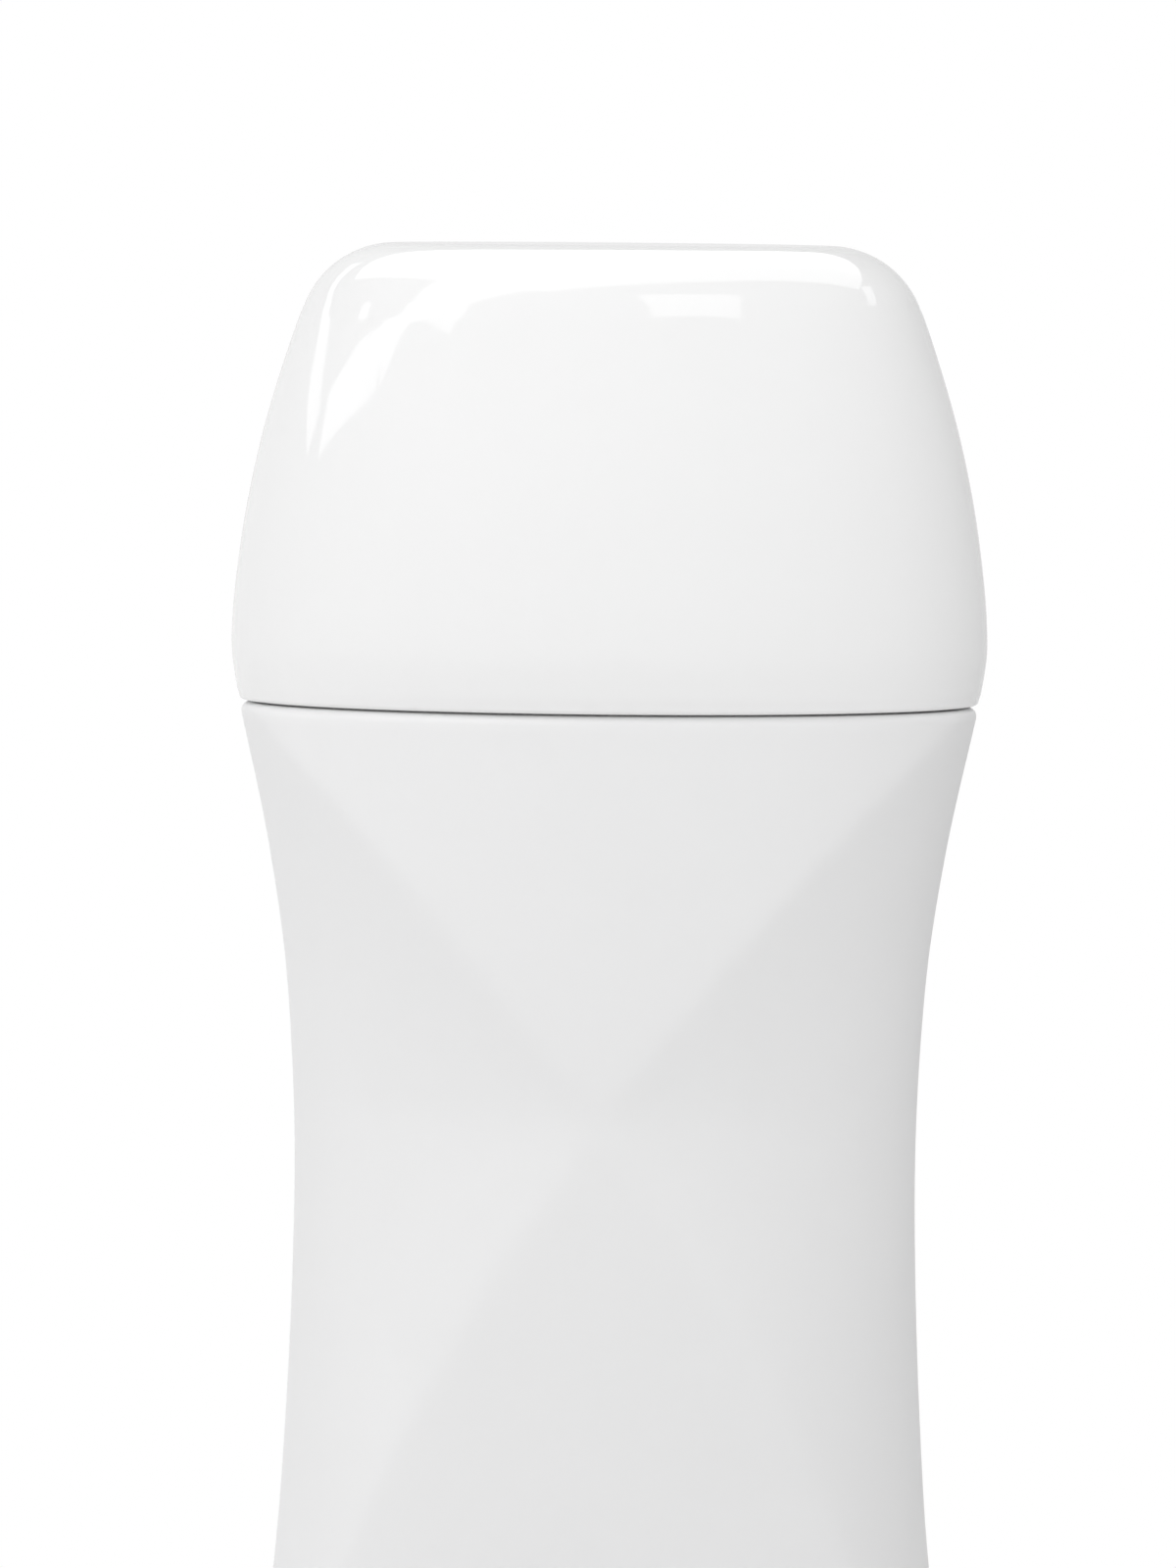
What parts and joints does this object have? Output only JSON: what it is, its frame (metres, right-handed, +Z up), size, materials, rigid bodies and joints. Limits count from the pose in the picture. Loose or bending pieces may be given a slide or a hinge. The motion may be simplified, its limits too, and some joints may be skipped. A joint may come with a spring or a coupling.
{
  "type": "roll-on wax heater",
  "caption": "Hand-held heater for a roll-on wax cartridge: waisted white housing with faceted front, pull-off gloss cap, heated sleeve, power button and mains inlet.",
  "frame": {"origin": "on the resting plane, under the middle of the housing", "axes": "+Z up, the front with the power button faces -Y, +X to the right of someone looking at the front"},
  "size_m": [0.075, 0.054, 0.186],
  "materials": {
    "housing_satin_white": "satin moulded plastic with a fine even texture",
    "cap_gloss_white": "high-gloss moulded plastic",
    "collar_white": "satin moulded plastic",
    "silicone_grey": "soft matt silicone",
    "window_smoke": "clear polished plastic",
    "cradle_black": "heat-resistant moulded plastic",
    "sleeve_aluminium": "drawn aluminium",
    "element_ceramic": "ceramic heating element in polyimide film",
    "insulation_felt": "glass-fibre sheet",
    "steel": "plated steel",
    "fuse_white": "ceramic",
    "board_green": "solder resist",
    "switch_black": "moulded plastic",
    "light_clear": "clear polished plastic",
    "bezel_silver": "satin chrome",
    "inlet_black": "moulded plastic",
    "pin_nickel": "nickel-plated brass",
    "rubber_grey": "soft matt rubber",
    "tank_clear": "translucent moulded plastic",
    "wax_honey": "set depilatory wax",
    "head_white": "moulded plastic",
    "roller_white": "polished moulded plastic",
    "button_white": "satin moulded plastic"
  },
  "bodies": {
    "housing": {"front_shell": "housing_satin_white", "rear_shell": "housing_satin_white", "top_collar": "collar_white", "mouth_gasket": "silicone_grey", "level_window": "window_smoke", "cradle": "cradle_black", "heater_sleeve": "sleeve_aluminium", "heating_element": "element_ceramic", "pressure_plate": "sleeve_aluminium", "insulation_sheet": "insulation_felt", "thermostat": "steel", "thermal_fuse": "fuse_white", "temperature_sensor": "fuse_white", "control_board": "board_green", "board_screws": "steel", "tact_switch": "switch_black", "indicator_led": "light_clear", "light_guide": "light_clear", "button_bezel": "bezel_silver", "inlet_housing": "inlet_black", "inlet_pins": "pin_nickel", "base_plate": "housing_satin_white", "rubber_feet": "rubber_grey", "base_screws": "steel", "shell_screws": "steel"},
    "cap": {"cap": "cap_gloss_white"},
    "cartridge": {"cartridge_tank": "tank_clear", "wax_fill": "wax_honey", "cartridge_head": "head_white", "roller_axle": "steel"},
    "roller": {"roller": "roller_white"},
    "power_button": {"power_button": "button_white"}
  },
  "joints": [
    {"name": "cap_lift", "type": "slide", "parent": "housing", "child": "cap", "axis": [0, 0, 1], "range_m": [0, 0.24]},
    {"name": "cartridge_lift", "type": "slide", "parent": "housing", "child": "cartridge", "axis": [0, 0, 1], "range_m": [0, 0.108]},
    {"name": "roller_spin", "type": "hinge", "parent": "cartridge", "child": "roller", "pos_m": [0, 0, 0.163], "axis": [1, 0, 0], "continuous": true},
    {"name": "button_press", "type": "slide", "parent": "housing", "child": "power_button", "axis": [0, 1, 0], "range_m": [0, 0.0008], "stiffness_N_per_m": 600}
  ],
  "couplings": [
    {"joint": "cartridge_lift", "follows": "cap_lift", "ratio": 0.45}
  ]
}
